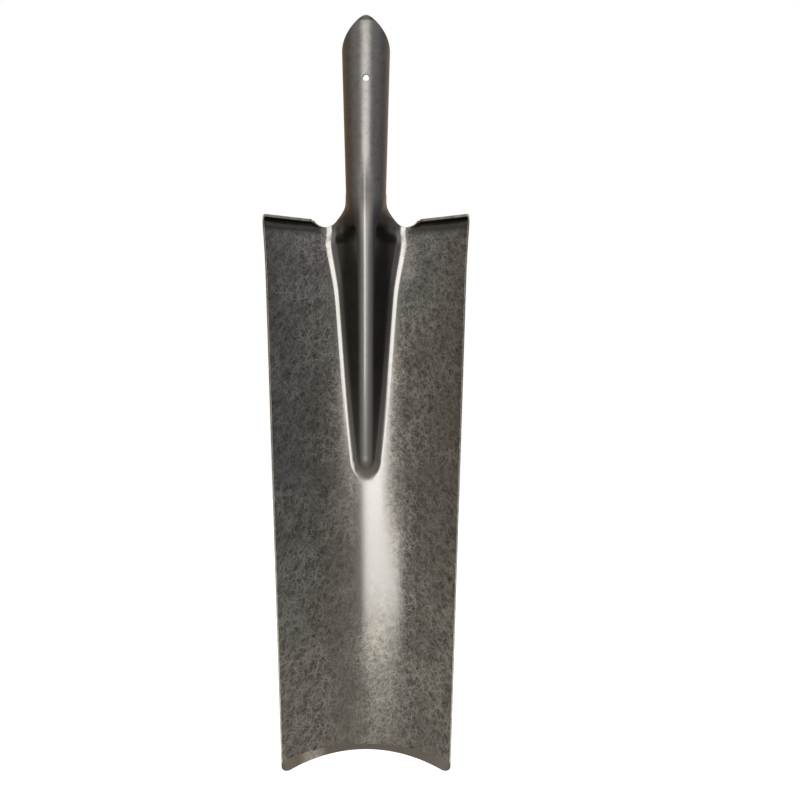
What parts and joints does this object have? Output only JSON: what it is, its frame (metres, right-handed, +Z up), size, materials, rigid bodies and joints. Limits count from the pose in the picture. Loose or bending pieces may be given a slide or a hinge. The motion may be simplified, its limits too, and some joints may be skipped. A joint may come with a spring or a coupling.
{
  "type": "drain spade head",
  "caption": "Steel head of a narrow drain spade: conical handle socket, raised frog, tapering trough blade, turned treads.",
  "frame": {"origin": "on the axis of the handle socket, at the height of the fixing hole", "axes": "+Z up along the socket's axis, the way the handle leaves it; the hollow face looks to -Y; X across the blade"},
  "size_m": [0.155, 0.0581, 0.5583],
  "materials": {
    "steel": "hardened carbon steel, dark and polished, with fine random scratches"
  },
  "bodies": {
    "root": {"socket": "steel", "frog": "steel", "blade": "steel", "left_tread": "steel", "right_tread": "steel"}
  },
  "joints": []
}
